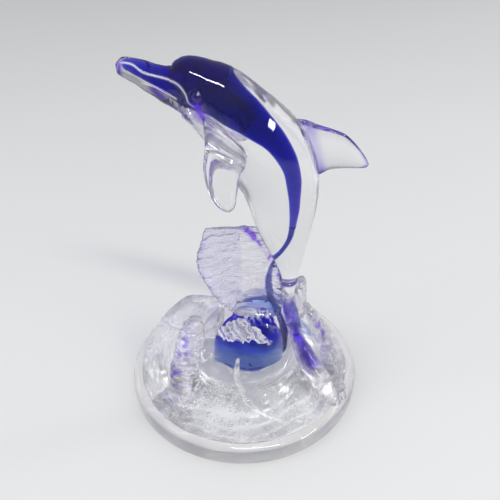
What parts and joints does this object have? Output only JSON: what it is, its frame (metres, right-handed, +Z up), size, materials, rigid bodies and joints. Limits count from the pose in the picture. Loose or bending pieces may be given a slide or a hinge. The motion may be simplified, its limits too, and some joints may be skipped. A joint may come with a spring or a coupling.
{
  "type": "glass figurine",
  "caption": "Clear glass dolphin with a cobalt core, leaping over a rippled, part-frosted glass wave that stands on a round glass foot.",
  "frame": {"origin": "centre of the foot's flat underside, on the surface the figurine stands on", "axes": "+Z up out of the foot; the dolphin's spine lies in the X-Z plane, its beak pointing to -X; -Y is the side a viewer faces"},
  "size_m": [0.108, 0.108, 0.1613],
  "materials": {
    "clear_glass": "clear, fire-polished lead-free crystal",
    "frosted_glass": "chilled and rippled glass, part frosted, faint violet cast",
    "cobalt_glass": "deep cobalt-blue glass, cased in clear"
  },
  "bodies": {
    "root": {"core_ribbon": "cobalt_glass", "dolphin_body": "clear_glass", "dolphin_core": "cobalt_glass", "dorsal_fin": "clear_glass", "foot": "clear_glass", "pectoral_fin_left": "clear_glass", "pectoral_fin_right": "clear_glass", "tail_fluke_left": "clear_glass", "tail_fluke_right": "clear_glass", "tail_stock": "clear_glass", "wave_back_crest": "frosted_glass", "wave_front_curl": "frosted_glass", "wave_front_rib": "clear_glass", "wave_heart": "cobalt_glass", "wave_left_crest": "frosted_glass", "wave_left_ridge": "frosted_glass", "wave_mound": "clear_glass", "wave_right_crest": "frosted_glass", "wave_right_fold": "clear_glass", "wave_tall_crest": "frosted_glass"}
  },
  "joints": []
}
